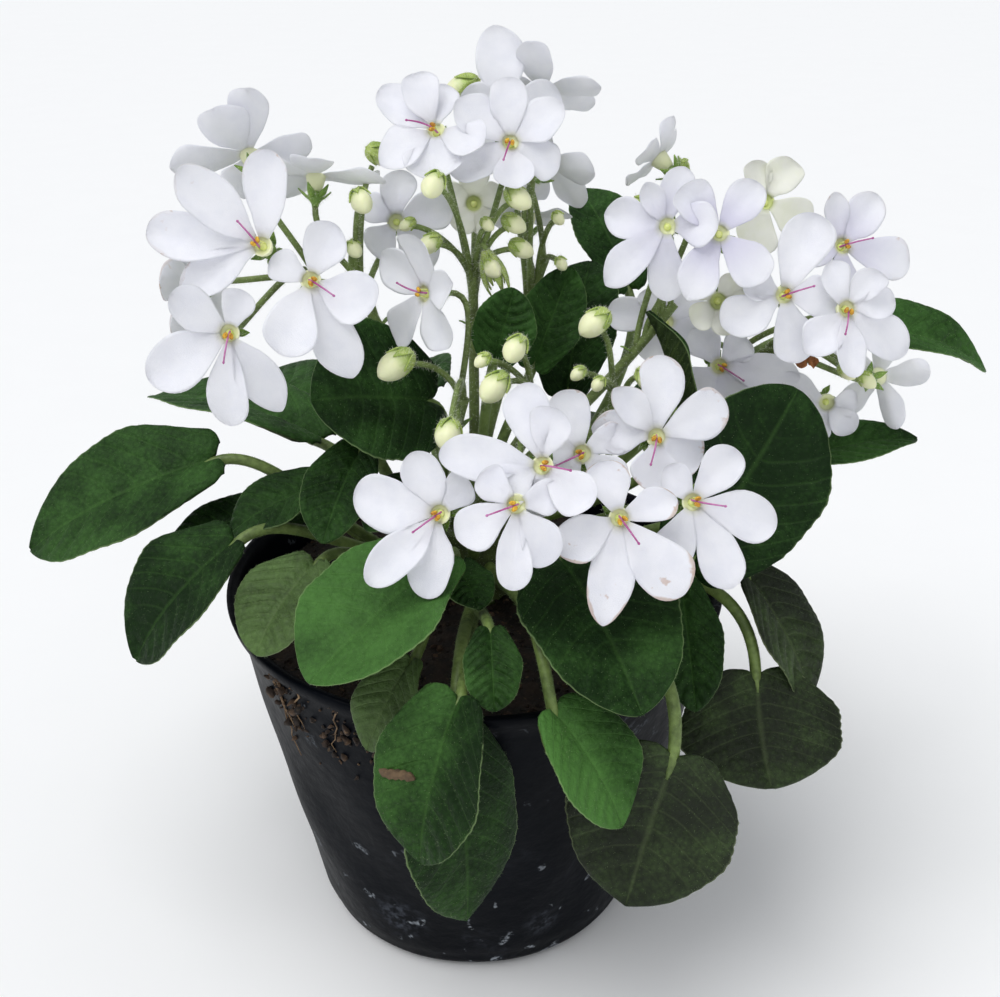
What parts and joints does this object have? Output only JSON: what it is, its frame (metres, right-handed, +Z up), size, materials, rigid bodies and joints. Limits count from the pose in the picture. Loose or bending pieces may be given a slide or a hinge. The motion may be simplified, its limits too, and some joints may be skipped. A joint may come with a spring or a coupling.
{
  "type": "potted african violet",
  "caption": "African violet in flower in a soft black nursery pot: a rosette of velvety green leaves under clusters of white blooms and pale buds.",
  "frame": {"origin": "centre of the pot's flat underside, at the surface that it stands on", "axes": "+Z up, +Y away from the side that the plant is seen from, +X to the right as seen from there"},
  "size_m": [0.2816, 0.223, 0.2582],
  "materials": {
    "pot": "satin black plastic with dust and dried soil",
    "soil": "damp crumbly potting soil with root fibres",
    "leaf": "velvety, with fine pale hairs",
    "leaf_dull": "matte, with a reddish-brown underside",
    "stem": "soft green with white hairs",
    "petal": "thin, finely crystalline, slightly translucent",
    "petal_cream": "thin, young, slightly translucent"
  },
  "bodies": {
    "root": {"pot": "pot", "soil": "soil", "crown": "leaf", "leaf_left_long": "leaf", "leaf_left_back": "leaf", "leaf_left_low": "leaf", "leaf_crinkled": "leaf", "leaf_front_left": "leaf", "leaf_round_left": "leaf", "leaf_heart_left": "leaf", "leaf_front_hanging": "leaf", "leaf_front_round": "leaf", "leaf_right_hanging": "leaf_dull", "leaf_right_dark": "leaf", "leaf_right_low": "leaf_dull", "leaf_right_broad": "leaf", "leaf_right_point": "leaf", "leaf_right_far": "leaf", "leaf_back_strip": "leaf", "leaf_centre_up": "leaf", "leaf_rear_long": "leaf", "leaf_rear_left": "leaf", "leaf_rear_right": "leaf", "leaf_rear_low": "leaf", "spray_left_outer": "stem", "spray_left_inner": "stem", "spray_top": "stem", "spray_top_back": "stem", "spray_right_inner": "stem", "spray_right_outer": "stem", "spray_front_left": "stem", "spray_front_mid": "stem", "spray_front_right": "stem", "bloom_left_big": "petal", "bloom_left_low": "petal", "bloom_left_side": "petal", "bloom_left_behind": "petal", "bloom_left_up": "petal", "bloom_left_far": "petal", "bloom_left_shaded": "petal", "bloom_top_left": "petal", "bloom_top_tall": "petal", "bloom_top_behind": "petal", "bloom_top_low": "petal", "bloom_top_cream": "petal_cream", "bloom_right_front": "petal", "bloom_right_violet": "petal", "bloom_right_cream": "petal_cream", "bloom_right_left": "petal", "bloom_right_top": "petal", "bloom_right_young": "petal_cream", "bloom_right_dim": "petal", "bloom_right_below": "petal", "bloom_right_back": "petal", "bloom_front_left": "petal", "bloom_front_mid": "petal", "bloom_front_high": "petal", "bloom_front_low": "petal", "bloom_front_right": "petal"}
  },
  "joints": []
}
